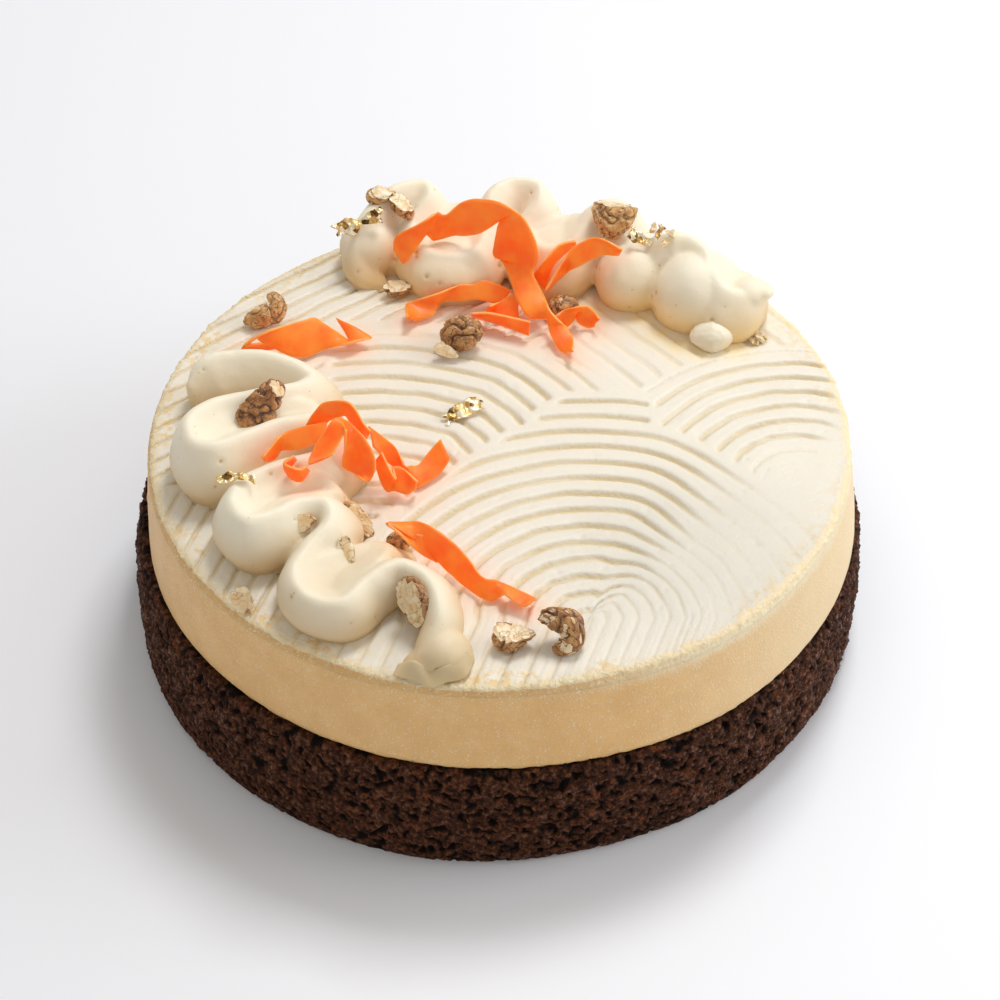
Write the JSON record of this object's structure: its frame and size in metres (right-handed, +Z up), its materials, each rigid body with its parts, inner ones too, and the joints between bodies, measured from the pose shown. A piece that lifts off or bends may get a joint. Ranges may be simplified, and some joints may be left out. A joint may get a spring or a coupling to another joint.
{
  "type": "carrot cake cheesecake",
  "caption": "Round carrot cake with a baked cheesecake band, a combed cream top, piped cream swirls, carrot ribbons and walnut pieces",
  "frame": {"origin": "centre of the cake's flat underside, on the surface that it stands on", "axes": "+Z up; -Y is the front, which the picture's camera looks at; +X to the right"},
  "size_m": [0.2019, 0.2016, 0.0882],
  "materials": {
    "sponge": "dark brown crumb, moist and rough",
    "cheesecake": "smooth baked cheesecake, faintly grained",
    "combed_cream": "soft cream with combed grooves",
    "piped_cream": "smooth piped cream, soft sheen",
    "carrot": "moist peeled carrot, slightly see-through at its edges",
    "walnut": "dry walnut kernel, brown skin and pale broken faces"
  },
  "bodies": {
    "root": {"sponge": "sponge", "cheesecake": "cheesecake", "cream_top": "combed_cream", "swirl_front": "piped_cream", "swirl_back": "piped_cream", "cream_blob": "piped_cream", "carrot_left": "carrot", "carrot_front": "carrot", "carrot_mid_wing": "carrot", "carrot_mid_arch": "carrot", "carrot_mid_fold": "carrot", "carrot_mid_tail": "carrot", "carrot_mid_loop": "carrot", "carrot_mid_curl": "carrot", "carrot_back_right": "carrot", "carrot_back_inner": "carrot", "carrot_back_low": "carrot", "carrot_back_flap": "carrot", "carrot_back_band": "carrot", "carrot_back_loop": "carrot", "carrot_back_arch": "carrot", "walnut_left_rim": "walnut", "walnut_back_left": "walnut", "walnut_back_left_small": "walnut", "walnut_back_foot": "walnut", "walnut_middle": "walnut", "walnut_middle_pale": "walnut", "walnut_back_middle": "walnut", "walnut_back_crest": "walnut", "walnut_left_hollow": "walnut", "walnut_left_wall": "walnut", "walnut_left_bowl": "walnut", "walnut_left_foot": "walnut", "walnut_front_foot": "walnut", "walnut_front_lobe": "walnut", "walnut_front_pale": "walnut", "walnut_front_double": "walnut", "walnut_front_rim": "walnut"}
  },
  "joints": []
}
